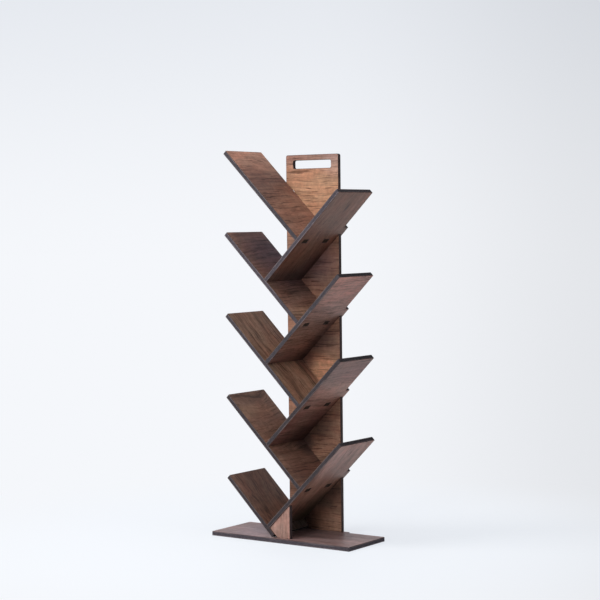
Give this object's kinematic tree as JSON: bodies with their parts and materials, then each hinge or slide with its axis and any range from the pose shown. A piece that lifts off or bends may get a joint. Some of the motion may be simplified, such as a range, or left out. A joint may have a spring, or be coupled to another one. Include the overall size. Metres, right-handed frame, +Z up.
{
  "type": "zigzag bookshelf",
  "caption": "Free-standing zigzag bookshelf: slanted wood boards tenoned through each other and hooked into a tall back panel on a flat base plate.",
  "frame": {"origin": "on the floor, under the middle of the object's box", "axes": "+Z up, -Y towards the front where the books go in, +X to the right seen from the front"},
  "size_m": [0.47, 0.202, 1.0963],
  "materials": {
    "base_board": "satin walnut laminate, grain across the width, dark cut edges",
    "panel_board": "satin walnut laminate, level grain, dark cut edges",
    "support_board": "satin walnut laminate, upright grain, dark cut edges",
    "left_boards": "satin walnut laminate, dark cut edges",
    "right_boards": "satin walnut laminate, dark cut edges"
  },
  "bodies": {
    "root": {"base_plate": "base_board", "back_panel": "panel_board", "front_support": "support_board", "left_board_1": "left_boards", "left_board_2": "left_boards", "left_board_3": "left_boards", "left_board_4": "left_boards", "left_board_5": "left_boards", "right_board_1": "right_boards", "right_board_2": "right_boards", "right_board_3": "right_boards", "right_board_4": "right_boards"}
  },
  "joints": []
}
